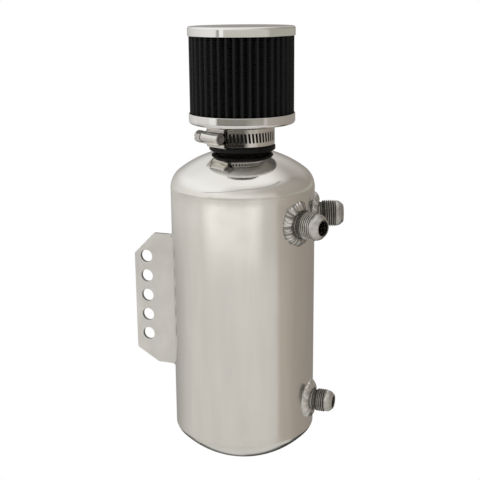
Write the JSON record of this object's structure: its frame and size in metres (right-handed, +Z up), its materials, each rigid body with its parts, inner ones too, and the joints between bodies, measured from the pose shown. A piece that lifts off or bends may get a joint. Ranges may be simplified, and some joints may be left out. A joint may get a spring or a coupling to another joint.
{
  "type": "oil catch can",
  "caption": "Welded round can with domed ends, two flare inlets, a flare drain, a drilled side fin for bolting it up, and a clamp-on breather filter on its neck.",
  "frame": {"origin": "centre of the middle hole in the mounting fin", "axes": "+Z up along the can, +X from the fin through the can's axis to the drain, Y through the fin's holes"},
  "size_m": [0.1837, 0.1204, 0.3678],
  "materials": {
    "can": "satin, hand polished sheet",
    "dome": "bright polished",
    "weld": "rippled weld bead, dull",
    "fitting": "turned, dull grey",
    "fin": "brushed sheet",
    "baffle": "mill finish",
    "rubber": "matt moulded",
    "cap": "bright plated",
    "media": "pleated media under wire mesh",
    "sealant": "cast sealant",
    "clamp": "bright stainless",
    "screw": "bright plated"
  },
  "bodies": {
    "can": {"can_tube": "can", "top_dome": "dome", "bottom_dome": "dome", "top_seam_weld": "dome", "bottom_seam_weld": "dome", "splash_baffle": "baffle", "neck_spigot": "can", "neck_weld": "weld", "inlet_fitting_front": "fitting", "inlet_fitting_rear": "fitting", "drain_fitting": "fitting", "inlet_weld_front": "weld", "inlet_weld_rear": "weld", "drain_weld": "weld", "mounting_fin": "fin", "fin_weld_upper": "weld", "fin_weld_lower": "weld", "rubber_collar": "rubber", "filter_base_cap": "cap", "pleated_element": "media", "filter_top_cap": "cap", "top_potting": "sealant", "clamp_band": "clamp", "clamp_housing": "clamp"},
    "worm_screw": {"clamp_screw": "screw"}
  },
  "joints": [
    {"name": "clamp_screw_turn", "type": "hinge", "parent": "can", "child": "worm_screw", "pos_m": [0.07651, -0.02844, 0.14731], "axis": [-0.891, 0.454, 0], "continuous": true}
  ]
}
